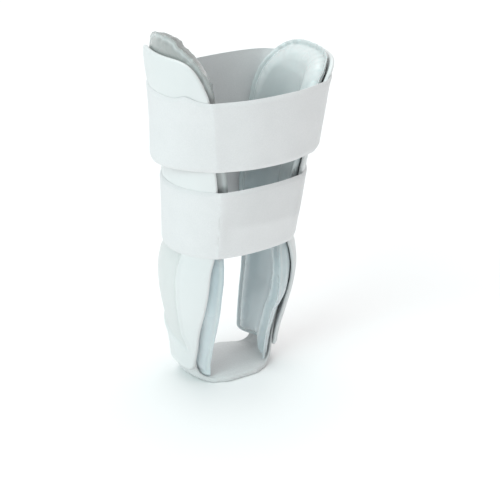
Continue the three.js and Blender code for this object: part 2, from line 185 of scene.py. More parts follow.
def wall(side, height, along, inward):
    """Points of the wall on one side, as an array with x, y and z last."""
    wide, deep, centre, _, _ = oval(height, side)
    share = np.clip(along, -OVAL_END, OVAL_END)
    x = side * (wide - inward) * np.sqrt(1 - share**2)
    y = centre + (deep - inward) * share
    return np.stack(np.broadcast_arrays(x, y, HEEL_DROP + height), -1)


WAVE_FADE = 1.6  # each octave of the unevenness is this much weaker than the one before


def waves(a, b, seed, octaves, base):
    """Smooth repeatable unevenness of two coordinates, from about -1 to 1."""
    rng = np.random.RandomState(seed)
    total = np.zeros(np.broadcast(a, b).shape)
    for octave in range(octaves):
        for _ in range(3):
            angle, phase = rng.uniform(0, 2 * math.pi, 2)
            rate = base * 2**octave * rng.uniform(0.7, 1.3)
            wave = np.sin((a * math.cos(angle) + b * math.sin(angle)) * rate + phase)
            total += wave / (3 * WAVE_FADE**octave)
    return total / WAVE_FADE


def new_object(name, verts, faces, material, uvs, node, attributes=None):
    """A smooth closed mesh in place of a CAD node, from points in millimetres, uvs and point attributes."""
    mesh = bpy.data.meshes.new(name)
    mesh.from_pydata([tuple((v + ORIGIN) * MM) for v in verts], [], faces)
    obj = bpy.data.objects.new(name, mesh)
    bpy.context.scene.collection.objects.link(obj)
    if uvs is not None:
        layer = mesh.uv_layers.new(name="length_and_width")
        flat = np.asarray(uvs, np.float32)[np.array([i for face in faces for i in face])]
        layer.data.foreach_set("uv", flat.ravel())
    for key, values in (attributes or {}).items():
        mesh.attributes.new(key, "FLOAT", "POINT").data.foreach_set("value", values.astype(np.float32))
    bm = bmesh.new()
    bm.from_mesh(mesh)
    bmesh.ops.remove_doubles(bm, verts=bm.verts, dist=1e-6)
    bmesh.ops.recalc_face_normals(bm, faces=bm.faces)
    bm.to_mesh(mesh)
    bm.free()
    mesh.polygons.foreach_set("use_smooth", [True] * len(mesh.polygons))
    mesh.materials.append(material)
    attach(obj, "root")
    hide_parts(node)
    return obj


def between_grids(face, back):
    """Vertices and faces of a closed body whose two grids meet along their border."""
    rows, columns = face.shape[:2]
    verts = np.concatenate([face.reshape(-1, 3), back.reshape(-1, 3)])
    half = rows * columns
    index = np.arange(half).reshape(rows, columns)
    a, b, c, d = index[:-1, :-1], index[:-1, 1:], index[1:, 1:], index[1:, :-1]
    front = np.stack([a, b, c, d], -1).reshape(-1, 4)
    rear = np.stack([a, d, c, b], -1).reshape(-1, 4) + half
    return verts, np.concatenate([front, rear]).tolist()


def packed_shares(length, step, edge, edge_steps=5):
    """Shares from 0 to 1 along a length, with extra lines that round off both edges over a width of edge."""
    turn = edge * (1 - np.cos(np.linspace(0, math.pi / 2, edge_steps + 1)))
    middle = np.linspace(edge, length - edge, max(4, int(round((length - 2 * edge) / step))))
    return np.unique(np.concatenate([turn, middle, length - turn])) / length


def border_distance(grid):
    """Distance of each point of a grid from its border, and how far along the border the nearest place is."""
    ring = np.concatenate([grid[0, :-1], grid[:-1, -1], grid[-1, :0:-1], grid[:0:-1, 0]])
    tree = KDTree(len(ring))
    for index, point in enumerate(ring):
        tree.insert(point, index)
    tree.balance()
    points = grid.reshape(-1, 3)
    near = np.array([tree.find(point)[1] for point in points])
    steps = np.linalg.norm(np.roll(ring, -1, 0) - ring, axis=1)
    run = np.concatenate([[0], np.cumsum(steps)[:-1]])
    best, place = np.full(len(points), np.inf), np.zeros(len(points))
    for first in (near, (near - 1) % len(ring)):
        start, ahead = ring[first], ring[(first + 1) % len(ring)] - ring[first]
        length = np.maximum(np.linalg.norm(ahead, axis=1), 1e-9)
        part = np.clip(((points - start) * ahead).sum(1) / length**2, 0, 1)
        distance = np.linalg.norm(points - start - ahead * part[:, None], axis=1)
        closer = distance < best
        best = np.where(closer, distance, best)
        place = np.where(closer, run[first] + part * length, place)
    return best.reshape(grid.shape[:2]), place.reshape(grid.shape[:2])


def round_edge(distance, radius):
    """Share of the full half thickness at a distance from a rounded edge."""
    inside = np.clip(distance / radius, 0, 1)
    return np.sqrt(np.clip(1 - (1 - inside) ** 2, 0, 1))


# Materials

WEAVE_SCALE = 1500.0  # loops of the cloth's nap per metre
RIB_SCALE = 330.0
PAINTED_NAP_SHADE = 0.925  # tone of the painted shade above the lower strap's dip; below the dip the cloth is painted lighter, up to 1
FILM_SHADE_HEIGHTS = (0.03, 0.075, 0.105, 0.15, 0.17, 0.215)  # in metres, where the films' colours, which paint light and shade by height, are reached
WELD_PALENESS = 0.6


def node_material(name, color, roughness):
    mat = bpy.data.materials.new(name)
    mat.use_nodes = True
    shader = mat.node_tree.nodes["Principled BSDF"]
    shader.inputs["Base Color"].default_value = (*color, 1)
    shader.inputs["Roughness"].default_value = roughness
    return mat, mat.node_tree, shader


def link_new(tree, kind, sources=(), **settings):
    """A new node, with its settings and its (input, value) sources: a number, a colour or a node's output."""
    node = tree.nodes.new(kind)
    for key, value in settings.items():
        setattr(node, key, value)
    for key, value in sources:
        if isinstance(value, bpy.types.NodeSocket):
            tree.links.new(value, node.inputs[key])
        else:
            node.inputs[key].default_value = value
    return node


def noise(tree, vector, scale, detail=3.0, roughness=0.5, distortion=0.0):
    sources = [("Vector", vector), ("Scale", scale), ("Detail", detail), ("Roughness", roughness)]
    return link_new(tree, "ShaderNodeTexNoise", [*sources, ("Distortion", distortion)]).outputs["Fac"]


def ramp(tree, value, stops):
    """Colour ramp through (position, colour) stops."""
    node = link_new(tree, "ShaderNodeValToRGB", [("Fac", value)])
    elements = node.color_ramp.elements
    while len(elements) < len(stops):
        elements.new(1.0)
    for element, (position, color) in zip(elements, stops):
        element.position = position
        element.color = (*color, 1)
    return node.outputs["Color"]


def grey(value):
    return (value, value, value)


def blend_colors(tree, factor, first, second, mode="MIX"):
    """Two colours mixed or multiplied: 0, 6 and 7 are the node's inputs for colours, and 2 is its output."""
    sources = ((0, factor), (6, first), (7, second))
    return link_new(tree, "ShaderNodeMix", sources, data_type="RGBA", blend_type=mode).outputs[2]


def add_bump(tree, shader, layers):
    """Bump from (height, strength, distance in metres) layers, one after another."""
    normal = None
    for height, strength, distance in layers:
        sources = [("Height", height), ("Strength", strength), ("Distance", distance)]
        if normal is not None:
            sources.append(("Normal", normal))
        normal = link_new(tree, "ShaderNodeBump", sources).outputs["Normal"]
    tree.links.new(normal, shader.inputs["Normal"])


def shell_plastic():
    """Injection-moulded white plastic: satin grain, slight cloudiness, rubbed raised edges, painted shade on
    the sunk flange.
    """
    mat, tree, shader = node_material("shell_plastic", (0.84, 0.86, 0.86), 0.42)
    shader.inputs["Subsurface Weight"].default_value = 0.1
    shader.inputs["Subsurface Radius"].default_value = (0.003, 0.003, 0.003)
    shader.inputs["Specular IOR Level"].default_value = 0.4
    place = link_new(tree, "ShaderNodeTexCoord").outputs["Object"]
    cloud = noise(tree, place, 22.0, 4.0)
    color = ramp(tree, cloud, ((0.3, (0.752, 0.766, 0.765)), (0.75, (0.79, 0.798, 0.799))))
    worn = link_new(tree, "ShaderNodeNewGeometry").outputs["Pointiness"]
    rubbed = ramp(tree, worn, ((0.52, grey(0)), (0.6, grey(0.5))))
    color = blend_colors(tree, rubbed, color, (0.92, 0.93, 0.93, 1))
    # Painted shade: the sunk rear flange is a little darker, standing in for the shade on it.
    flange_shade = link_new(tree, "ShaderNodeAttribute", attribute_name="flange_shade").outputs["Fac"]
    flange_shade_tone = ramp(tree, flange_shade, ((0.0, grey(1)), (1.0, (0.94, 0.94, 0.932))))
    color = blend_colors(tree, 1.0, color, flange_shade_tone, "MULTIPLY")
    tree.links.new(color, shader.inputs["Base Color"])
    gloss = ramp(tree, noise(tree, place, 160.0, 3.0), ((0.3, grey(0.38)), (0.75, grey(0.5))))
    tree.links.new(gloss, shader.inputs["Roughness"])
    grain = noise(tree, place, 2600.0, 2.0)
    flow = noise(tree, place, 60.0, 2.0)
    add_bump(tree, shader, [(flow, 0.2, 0.0004), (grain, 0.15, 0.0001)])
    return mat


def loop_cloth(name, light, dark, nap_shaded=False):
    """Loop cloth: a nap of tiny loops over a knitted ground, a little cloudy.

    It can also carry painted shade and painted light, as tones from the "nap" attribute.
    """
    mat, tree, shader = node_material(name, light, 0.92)
    shader.inputs["Sheen Weight"].default_value = 0.25
    shader.inputs["Sheen Roughness"].default_value = 0.45
    shader.inputs["Sheen Tint"].default_value = (0.95, 0.97, 0.97, 1)
    shader.inputs["Specular IOR Level"].default_value = 0.2
    run = link_new(tree, "ShaderNodeUVMap", uv_map="length_and_width").outputs["UV"]
    place = link_new(tree, "ShaderNodeTexCoord").outputs["Object"]
    ribs = link_new(
        tree,
        "ShaderNodeTexWave",
        [("Vector", run), ("Scale", RIB_SCALE), ("Distortion", 2.2), ("Detail", 2.0), ("Detail Scale", 3.0)],
        wave_type="BANDS",
        bands_direction="Y",
    ).outputs["Fac"]
    loops = [("Vector", place), ("Scale", WEAVE_SCALE)]
    nap = link_new(tree, "ShaderNodeTexVoronoi", loops).outputs["Distance"]
    fuzz = noise(tree, place, WEAVE_SCALE * 0.8, 5.0, 0.65, 1.2)
    cloud = noise(tree, place, 60.0, 4.0)
    color = ramp(tree, fuzz, ((0.25, dark), (0.75, light)))
    shade = ramp(tree, cloud, ((0.3, (0.96, 0.962, 0.962)), (0.8, grey(1))))
    color = blend_colors(tree, 1.0, color, shade, "MULTIPLY")
    if nap_shaded:
        # Painted shade and painted light: the "nap" attribute darkens the cloth above the lower strap's dip
        # and lightens it below, standing in for the dip's shading.
        nap_shade_share = link_new(tree, "ShaderNodeAttribute", attribute_name="nap").outputs["Fac"]
        nap_shade_tone = ramp(tree, nap_shade_share, ((0.0, grey(PAINTED_NAP_SHADE)), (1.0, grey(1))))
        color = blend_colors(tree, 1.0, color, nap_shade_tone, "MULTIPLY")
    tree.links.new(color, shader.inputs["Base Color"])
    layers = [(cloud, 0.12, 0.0006), (ribs, 0.1, 0.0002), (nap, 0.18, 0.0002), (fuzz, 0.2, 0.00025)]
    add_bump(tree, shader, layers)
    return mat


def cell_film(name, low, middle, slit_shade, top):
    """Soft translucent glossy film: colours by height that paint light and shade, paler along its weld line,
    a little cloudy.
    """
    mat, tree, shader = node_material(name, middle, 0.24)
    shader.inputs["Subsurface Weight"].default_value = 0.35
    shader.inputs["Subsurface Radius"].default_value = (0.004, 0.005, 0.005)
    shader.inputs["IOR"].default_value = 1.4
    shader.inputs["Coat Weight"].default_value = 0.5
    shader.inputs["Coat Roughness"].default_value = 0.12
    place = link_new(tree, "ShaderNodeTexCoord").outputs["Object"]
    height = link_new(tree, "ShaderNodeSeparateXYZ", [("Vector", place)]).outputs["Z"]
    # Painted light and shade by height: both films are painted darker at the open band between the straps;
    # the outer film is painted lighter at its foot and darker above, the inner film lighter at its top.
    color = ramp(tree, height, tuple(zip(FILM_SHADE_HEIGHTS, (low, middle, middle, slit_shade, slit_shade, top))))
    cloud = ramp(tree, noise(tree, place, 26.0, 2.0), ((0.3, (0.9, 0.91, 0.92)), (0.7, grey(1))))
    color = blend_colors(tree, 1.0, color, cloud, "MULTIPLY")
    band = link_new(tree, "ShaderNodeAttribute", attribute_name="weld").outputs["Fac"]
    pale = ramp(tree, band, ((0.0, grey(0)), (1.0, grey(WELD_PALENESS))))
    color = blend_colors(tree, pale, color, (0.7, 0.74, 0.74, 1))
    tree.links.new(color, shader.inputs["Base Color"])
    gloss = ramp(tree, noise(tree, place, 45.0, 2.0), ((0.3, grey(0.2)), (0.7, grey(0.3))))
    tree.links.new(gloss, shader.inputs["Roughness"])
    crease = noise(tree, place, 40.0, 2.0, 0.4, 0.8)
    fine = noise(tree, place, 420.0, 1.0)
    add_bump(tree, shader, [(crease, 0.25, 0.0014), (fine, 0.05, 0.0001)])
    return mat


PLASTIC = shell_plastic()
# The strap cloth carries the painted shade and painted light of its "nap" attribute.
STRAP_CLOTH = loop_cloth("strap_cloth", (0.873, 0.865, 0.87), (0.796, 0.788, 0.793), nap_shaded=True)
HEEL_CLOTH = loop_cloth("heel_cloth", (0.8, 0.81, 0.81), (0.66, 0.67, 0.67))
# The films' colours at foot, middle, open band and top paint light and shade over their blue-grey film.
OUTER_FILM = cell_film(
    "outer_cell_film", (0.78, 0.85, 0.87), (0.54, 0.63, 0.66), (0.38, 0.4, 0.4), (0.42, 0.43, 0.42)
)
INNER_FILM = cell_film(
    "inner_cell_film", (0.66, 0.73, 0.75), (0.56, 0.635, 0.655), (0.49, 0.54, 0.545), (0.74, 0.77, 0.77)
)


# Shells

SHELL_ARC = 78.0  # rough run of a shell from edge to edge, which sets the number of columns
SHELL_COLUMN = 0.62
SHELL_ROW = 1.1
FRONT_CORNER = 6.5  # power of the upper corner's curve: higher is squarer
REAR_CORNER = 4.4
FOOT_CORNER = 6
EDGE_ROUND = 1.5
FRONT_SWELL = 2.6  # the outer shell's front edge swells forward over the ankle
SWELL_HEIGHT = 52
SWELL_SPREAD = 24

# Relief of the shells' outer faces. Places along are shares of the half depth, heights are shares of
# SHELL_HEIGHT.
RELIEF_DEPTH = 1.1
RELIEF_STEP = 0.035  # width of the moulded step
PANEL_RIDGE = -0.255  # rear edge of the raised panel
RIDGE_SWING = 0.1  # how far that edge swings forward towards the foot
STEP_HEIGHT = 0.066  # lower end of the sunk flange, under the ridge
STEP_RISE = 0.07  # slope of that end towards the rear
STEP_EASE = 0.007
FLANGE_TOP = 0.4  # the relief fades out from here, under the lower strap
FLANGE_FADE = 0.06
BEAD_HEIGHT = 0.6  # raised bead along the panel's edges
BEAD_WIDTH = 0.03
BEAD_TOP = 0.368  # the bead ends just below the lower strap
BEAD_FADE = 0.012
STEP_BEAD = 0.006  # middle of the bead under the step
STEP_BEAD_WIDTH = 0.005
GROOVE_DEPTH = 0.7  # beside the bead
GROOVE_WIDTH = 0.028
RELIEF_MARGIN = 3  # the relief fades in over this far from a shell's border
FLANGE_SHADE_EDGE = 0.04  # width over which the flange's painted shade begins


def shell_height(side):
    return SHELL_HEIGHT if side < 0 else SHELL_HEIGHT * INNER_SHELL_SHARE


def rounded_drop(share, height, power):
    return height * (1 - np.sqrt(np.clip(1 - np.abs(share) ** power, 0, 1)))


def shell_top(side, share):
    """Height of a shell's top edge: the front corner is squarer than the rear one."""
    power = np.where(share < 0, FRONT_CORNER, REAR_CORNER)
    return shell_height(side) - rounded_drop(share, SHELL_TOP_ROUND, power)


def shell_foot(share):
    """Height of a shell's lower edge, which runs down towards the front."""
    rounding = np.where(share < 0, SHELL_FOOT_ROUND, SHELL_HEEL_ROUND)
    return rounded_drop(share, rounding, FOOT_CORNER) - SHELL_FOOT_TILT * ease(-share)


def bump_at(value, width):
    return np.exp(-((value / width) ** 2))


def panel_ridge(share):
    """Place of the raised panel's rear edge at a height."""
    return PANEL_RIDGE - RIDGE_SWING * ease((0.13 - share) / 0.07)


def panel_step(along):
    """Height at which the sunk rear flange ends above the foot."""
    return STEP_HEIGHT + STEP_RISE * (along + 0.3)


def below_strap(share):
    """1 below the lower strap, where the relief shows, falling to 0 behind the strap."""
    return 1 - ease((share - FLANGE_TOP) / FLANGE_FADE)


def relief(height, along):
    """Depth of the outer face: the sunk rear flange, and beads along the raised panel's edges."""
    share = height / SHELL_HEIGHT
    ridge = panel_ridge(share)
    step = panel_step(along)
    behind = ease((along - ridge) / RELIEF_STEP)
    above = ease((share - step) / STEP_EASE)
    bead = bump_at(along - ridge + BEAD_WIDTH, BEAD_WIDTH) * ease((share - step + 0.01) / 0.03)
    bead += bump_at(share - step + STEP_BEAD, STEP_BEAD_WIDTH) * ease((along - ridge + 0.05) / 0.1)
    bead *= 1 - ease((share - BEAD_TOP) / BEAD_FADE)
    groove = bump_at(along - ridge - RELIEF_STEP, GROOVE_WIDTH) * above
    depth = RELIEF_DEPTH * behind * above + GROOVE_DEPTH * groove
    return (depth - BEAD_HEIGHT * np.minimum(bead, 1)) * below_strap(share)


def flange_shade_share(height, along):
    """How much of the sunk flange's painted shade the outer face has, from 0 to 1."""
    share = height / SHELL_HEIGHT
    behind = ease((along - panel_ridge(share)) / FLANGE_SHADE_EDGE + 0.5)
    return behind * ease((share - panel_step(along)) / STEP_EASE) * below_strap(share)


def make_shell(name, side):
    across = packed_shares(SHELL_ARC, SHELL_COLUMN, EDGE_ROUND) * 2 - 1
    up = packed_shares(shell_height(side), SHELL_ROW, EDGE_ROUND)
    share, rise = np.meshgrid(across, up)
    low = shell_foot(share)
    high = shell_top(side, share)
    height = low + rise * (high - low)
    _, deep, _, front, rear = oval(height, side)
    front = front - FRONT_SWELL * bump_at(height - SWELL_HEIGHT, SWELL_SPREAD) * (side < 0) / deep
    along = front + (share + 1) / 2 * (rear - front)
    middle = SHELL_THICKNESS / 2
    edge, _ = border_distance(wall(side, height, along, middle))
    half = middle * round_edge(edge, EDGE_ROUND)
    sunk = relief(height, along) * ease(edge / RELIEF_MARGIN)
    face = wall(side, height, along, middle - half + sunk)
    back = wall(side, height, along, middle + half)
    verts, faces = between_grids(face, back)
    # painted shade on the sunk flange, on the outer face only
    flange_shade = flange_shade_share(height, along).ravel()
    attributes = {"flange_shade": np.concatenate([flange_shade, 0 * flange_shade])}
    new_object(name + "_moulding", verts, faces, PLASTIC, None, name, attributes)


make_shell("lateral_shell", -1)
make_shell("medial_shell", 1)


# Air cells

CELL_ARC = 84.0  # rough run of a cell from edge to edge, which sets the number of columns
CELL_COLUMN = 0.75
CELL_ROW = 0.95
WELD_WIDTH = 3.2
OUTER_CELL_WELD = 0.6  # the outer cell's inner film swells almost from the border
WELD_THICKNESS = 1.0
WELD_STAND = 1.6  # the margin stands this far off the rest of the cell's outer film
WELD_PRESS = 0.2  # depth of the weld line on each face
WELD_LINE = 2.2  # middle of the pale weld line, from the border
WELD_LINE_WIDTH = 1.1
CROWN_CORNER = 1.6  # power of the outer cell's upper rear corner's curve: higher is squarer
CROWN_FRONT_CORNER = 2.9  # of its upper front corner's
INNER_CORNER = 4  # of the inner cell's two upper corners'
CROWN_STEP = 2.6  # the crinkled crown ends in a small step towards the front
CROWN_LIFT = 0.2
CROWN_WAVE = 0.4
FLANK = 2.0  # the outer cell's border lies this far back above the upper strap, and its flank shows beyond
FLANK_HEIGHT = 165
FLANK_FADE = 25
ANKLE_FLANK = 1.4  # the same at the ankle, where the strip in front of the shell is narrower
ANKLE_HEIGHT = 64
ANKLE_SPREAD = 20
WING_FADE = 18  # height over which a cell settles on the shell above the heel strap's wing
CRINKLE_HEIGHT = 34  # the crinkled part, down from the shell's top
CRINKLE_FADE = 25
CRINKLE = 0.8  # sizes of the films' unevenness
PUCKER_OUT, PUCKER_IN = 0.3, 0.5
FOLD_OUT, FOLD_IN = 0.25, 0.3
SLACK_IN = 0.45
CRINKLE_REACH = 10  # from the border inward, like the next four
PUCKER_PLACE = WELD_WIDTH + 2.5
PUCKER_SPREAD = 3.5
FOLD_START = 5
FOLD_END = 26
PILLOW_ROUND = 8.0
FILM_EDGE = 0.6


def cell_top(side, share):
    """Height of a cell's top edge: the outer cell has a crinkled crown that falls away to the rear."""
    top = shell_height(side) + (OUTER_CELL_RISE if side < 0 else INNER_CELL_RISE)
    if side > 0:
        return top - rounded_drop(share, CELL_TOP_ROUND, INNER_CORNER)
    rear = rounded_drop(share, CELL_CROWN_ROUND, CROWN_CORNER)
    front = rounded_drop(share, CELL_TOP_ROUND, CROWN_FRONT_CORNER)
    crown = CROWN_LIFT - CROWN_STEP * (1 - ease((share + 0.53) / 0.07))
    wave = CROWN_WAVE * waves(share * 40, share, 5, 2, 1.2) * bump_at(share + 0.1, 0.4)
    return top - np.where(share > 0, rear, front) + crown + wave


def pillow(edge, weld):
    """Share of a film's full swell at a distance from the border, beyond its weld."""
    inside = np.clip((edge - weld) / PILLOW_ROUND, 0, 1)
    return np.sqrt(1 - (1 - inside) ** 2)


def make_cell(name, side, film, seed):
    across = packed_shares(CELL_ARC, CELL_COLUMN, FILM_EDGE, 3) * 2 - 1
    up = packed_shares(SHELL_HEIGHT + OUTER_CELL_RISE, CELL_ROW, FILM_EDGE, 3)
    share, rise = np.meshgrid(across, up)
    foot_round = np.where(share < 0, CELL_TIP_ROUND, SHELL_FOOT_ROUND)
    low = rounded_drop(share, foot_round, FOOT_CORNER) - CELL_TIP * ease(-share)
    high = cell_top(side, share)
    height = low + rise * (high - low)
    _, deep, _, front_edge, rear_edge = oval(height, side)
    upper_flank = FLANK * ease((height - FLANK_HEIGHT) / FLANK_FADE)
    flank = (upper_flank + ANKLE_FLANK * bump_at(height - ANKLE_HEIGHT, ANKLE_SPREAD)) * (side < 0)
    front = front_edge - (CELL_REACH * section("reach", height) - flank) / deep
    rear = rear_edge + CELL_REAR_REACH / deep
    along = front + (share + 1) / 2 * (rear - front)
    edge, run = border_distance(wall(side, height, along, SHELL_THICKNESS + WELD_STAND))
    swell = pillow(edge, WELD_WIDTH)
    inner_swell = pillow(edge, OUTER_CELL_WELD if side < 0 else WELD_WIDTH)
    over_wing = 1 - ease((height - HEEL_WING_HEIGHT - 2) / WING_FADE)
    stand_off = SHELL_THICKNESS + SOFT_GAP + (HEEL_WING_THICKNESS + FIT_GAP) * over_wing
    outside = stand_off + WELD_STAND * (1 - swell)
    full = CELL_THICKNESS * section("full", height) + WELD_STAND
    depth = WELD_THICKNESS + (full - WELD_STAND - WELD_THICKNESS) * inner_swell
    at_top = ease((height - shell_height(side) + CRINKLE_HEIGHT) / CRINKLE_FADE)
    pucker = waves(run, edge * 0.2, seed, 2, 0.5) * bump_at(edge - PUCKER_PLACE, PUCKER_SPREAD)
    crinkle = waves(run, edge * 0.4, seed + 1, 3, 0.7) * ease((CRINKLE_REACH - edge) / CRINKLE_REACH) * at_top
    folds = waves(edge, run * 0.05, seed + 3, 2, 0.6)
    folds = folds * ease((edge - FOLD_START) / 4) * ease((FOLD_END - edge) / 10)
    slack = waves(along * deep, height * 0.35, seed + 2, 3, 0.07)
    weld = WELD_PRESS * bump_at(edge - WELD_WIDTH * 0.55, 0.8)
    half = np.minimum(1.0, edge / FILM_EDGE)
    shift = CRINKLE * crinkle
    border_depth = stand_off + WELD_STAND + WELD_THICKNESS / 2 + shift
    face_depth = outside + shift - weld + PUCKER_OUT * pucker + FOLD_OUT * folds * swell
    loose = (SLACK_IN * slack + FOLD_IN * folds) * inner_swell
    back_depth = outside + depth + shift + weld + PUCKER_IN * pucker + loose
    face_depth = border_depth + (face_depth - border_depth) * half
    back_depth = border_depth + (back_depth - border_depth) * half
    face = wall(side, height, along, np.maximum(face_depth, SHELL_THICKNESS + FIT_GAP))
    back = wall(side, height, along, back_depth)
    border = edge < 1e-6
    back[border] = face[border]
    verts, faces = between_grids(face, back)
    band = bump_at(edge - WELD_LINE, WELD_LINE_WIDTH).ravel()
    attributes = {"weld": np.concatenate([band, band * (side > 0)])}
    obj = new_object(name + "_bag", verts, faces, film, None, name, attributes)


make_cell("lateral_aircell", -1, OUTER_FILM, 11)
make_cell("medial_aircell", 1, INNER_FILM, 23)


# Straps

ARC_STEPS = 72
TURN_STEPS = 64
STRAP_ROW = 1.1
CLOTH_THICKNESS = 1.2
CLOTH_GAP = 0.15
CLOTH_ROUND = 0.65
CLOTH_OVERHANG = 1.2  # the cloth leaves a shell this far past its edge
CLOTH_FLARE = 7.4  # the upper strap's lower edge stands off the outer shell
FLARE_PLACE = 0.05  # of that flare's middle, as a share of the half depth
FLARE_SPREAD = 0.5
INNER_FLARE = 0.55  # share of the flare on the inner shell
INNER_FLARE_PLACE = -0.6
INNER_FLARE_SPREAD = 0.45
EDGE_PRESS = 2.8  # the cloth is pressed thin over this width along its edges
EDGE_SHARE = 0.2  # of its thickness at the edge itself
FRONT_PULL = 18.0  # how softly a strap turns off the shells in front
UPPER_BOW = 5.0  # the upper strap bows out this far across the front
LOWER_BOW = 1.4
BOW_EASE = 0.4  # share of the front stretch over which its bow begins
ARCH_PLACE = -0.46  # of the arch in the upper strap's top edge, as a share of the half depth
ARCH_WIDTH = 0.11
ARCH_LIFT = 0.36  # the arch stands out with the flaring shell, as a share of its height
FREE_SHARE = 0.55  # of the brace's half width: within it a strap hangs free between the shells
FREE_FADE = 12
SLACK = 0.22
NAP_WAVE = 0.03
UPPER_SEED = 31
LOWER_SEED = 47


def turn_curve(start, end, leave, arrive, share):
    t = share[:, None]
    return (
        start * (2 * t**3 - 3 * t**2 + 1)
        + leave * (t**3 - 2 * t**2 + t)
        + end * (3 * t**2 - 2 * t**3)
        + arrive * (t**3 - t**2)
    )


def strap_path(height, stand_off, bow, gap):
    """Inner path of a strap at one height, from the front of the outer shell round the rear."""

    def arc_point(side, share):
        wide, deep, centre, front, rear = (float(value) for value in oval(height, side))
        front, rear = front - CLOTH_OVERHANG / deep, rear + CLOTH_OVERHANG / deep
        along = front + share * (rear - front)
        off = gap + stand_off(side, along)
        return np.stack([side * (wide + off) * np.sqrt(1 - along**2), centre + (deep + off) * along], -1)

    def direction(side, share, step):
        vector = arc_point(side, np.array([share]))[0] - arc_point(side, np.array([share - step]))[0]
        return vector / np.linalg.norm(vector)

    shares = np.linspace(0, 1, ARC_STEPS + 1)
    outer = arc_point(-1, shares)
    inner = arc_point(1, shares[::-1])
    bend = (1 - np.cos(np.pi * np.arange(1, TURN_STEPS) / TURN_STEPS)) / 2
    rear_turn = turn_curve(
        outer[-1], inner[0], direction(-1, 1, 0.02) * REAR_TURN, -direction(1, 1, 0.02) * REAR_TURN, bend
    )
    front_turn = turn_curve(
        inner[-1], outer[0], direction(1, 0, -0.02) * FRONT_PULL, -direction(-1, 0, -0.02) * FRONT_PULL, bend
    )
    front_turn[:, 1] -= bow * np.sin(np.pi * bend) * ease(np.minimum(bend, 1 - bend) / BOW_EASE)
    return np.concatenate([outer, rear_turn, inner, front_turn])


def arch_at(along):
    return bump_at(along - ARCH_PLACE, ARCH_WIDTH)


def flare_at(side, along):
    """Share of the upper strap's flare at a place along a shell."""
    if side < 0:
        return bump_at(along - FLARE_PLACE, FLARE_SPREAD)
    return INNER_FLARE * bump_at(along - INNER_FLARE_PLACE, INNER_FLARE_SPREAD)


def make_strap(name, low_edge, flare, arch, bow, seed, crease=None, nap_shade_side=None):
    """A closed band of cloth with rounded edges and a little slack between the shells."""
    layers_out, layers_in, coords, nap_shades = [], [], [], []
    for share in packed_shares(STRAP_WIDTH, STRAP_ROW, CLOTH_ROUND, 4):
        up = share * STRAP_WIDTH
        height = low_edge + up

        def stand_off(side, along, share=share):
            lift = arch * ARCH_LIFT * arch_at(along) * ease((share - 0.5) / 0.5) * (side < 0)
            return flare * flare_at(side, along) * (1 - share) + lift

        edge = min(share, 1 - share) * STRAP_WIDTH
        pressed = float(ease(edge / EDGE_PRESS))
        path = strap_path(height, stand_off, bow, CLOTH_GAP * (0.3 + 0.7 * pressed))
        _, deep, centre, _, _ = (float(value) for value in oval(height, -1))
        ahead = np.roll(path, -1, 0) - np.roll(path, 1, 0)
        ahead /= np.linalg.norm(ahead, axis=1)[:, None]
        outward = np.stack([-ahead[:, 1], ahead[:, 0]], -1)
        turned = (outward * (path - [0, centre])).sum(1) < 0
        outward[turned] *= -1
        gaps = np.linalg.norm(path - np.roll(path, 1, 0), axis=1)
        gaps[0] = 0
        run = np.cumsum(gaps)
        along = (path[:, 1] - centre) / deep
        on_outer = (np.arange(len(path)) <= ARC_STEPS).astype(float)
        rise = arch * arch_at(along) * ease((share - 0.5) / 0.5) * on_outer
        free = ease((FREE_SHARE * BRACE_WIDTH / 2 - np.abs(path[:, 0])) / FREE_FADE)
        slack = SLACK * waves(run, up, seed, 3, 0.09) * free
        if crease is not None:
            slack = slack + crease(path, up) * free
        full = CLOTH_THICKNESS * (EDGE_SHARE + (1 - EDGE_SHARE) * pressed)
        outer_off = full * float(round_edge(edge, CLOTH_ROUND * 0.5))
        nap = NAP_WAVE * waves(run, up, seed + 1, 2, 2.0)
        z = HEEL_DROP + height + rise
        layers_out.append(np.column_stack([path + outward * (slack + outer_off + nap)[:, None], z]))
        layers_in.append(np.column_stack([path + outward * slack[:, None], z]))
        coords.append(np.column_stack([run * MM, np.full(len(run), up * MM)]))
        # 0 for painted shade, 1 for painted light, 0.5 where nothing is painted
        nap_shades.append(nap_shade_side(path, up) if nap_shade_side else np.full(len(run), 0.5))
    face, back, coords, nap_shades = (np.array(rows) for rows in (layers_out, layers_in, coords, nap_shades))
    back[0], back[-1] = face[0], face[-1]
    length = coords[len(coords) // 2, -1, 0]
    face, back, coords, nap_shades = (np.concatenate([grid, grid[:, :1]], 1) for grid in (face, back, coords, nap_shades))
    coords[:, -1, 0] = length + 0.001
    verts, faces = between_grids(face, back)
    uvs = np.concatenate([coords.reshape(-1, 2)] * 2)
    # the "nap" attribute holds the painted shade and painted light
    attributes = {"nap": np.concatenate([nap_shades.ravel()] * 2)}
    obj = new_object(name + "_cloth", verts, faces, STRAP_CLOTH, uvs, name, attributes)


# Soft dip across the front of the lower strap, which falls towards the inner side
DIP_HEIGHT = 22.5
DIP_SLANT = 0.07
DIP_DEPTH = 1.4
DIP_REACH = 24
DIP_HALF = 34  # half length of the dip
DIP_FADE = 16
NAP_SHADE_FROM = -32  # painted shade above the dip and painted light below it lie between these places across the front
NAP_SHADE_TO = 40
NAP_SHADE_TURN = 6  # height over which the painted shade turns to painted light, just above the dip's line


def dip_line(path):
    return DIP_HEIGHT - DIP_SLANT * path[:, 0]


def lower_crease(path, up):
    """How far the lower strap's cloth moves outward at the dip: a negative distance."""
    inside = ease((DIP_HALF - np.abs(path[:, 0])) / DIP_FADE)
    away = np.sqrt(((up - dip_line(path)) / DIP_REACH) ** 2 + 0.01)
    return -DIP_DEPTH * inside * np.maximum(0, 1 - away)


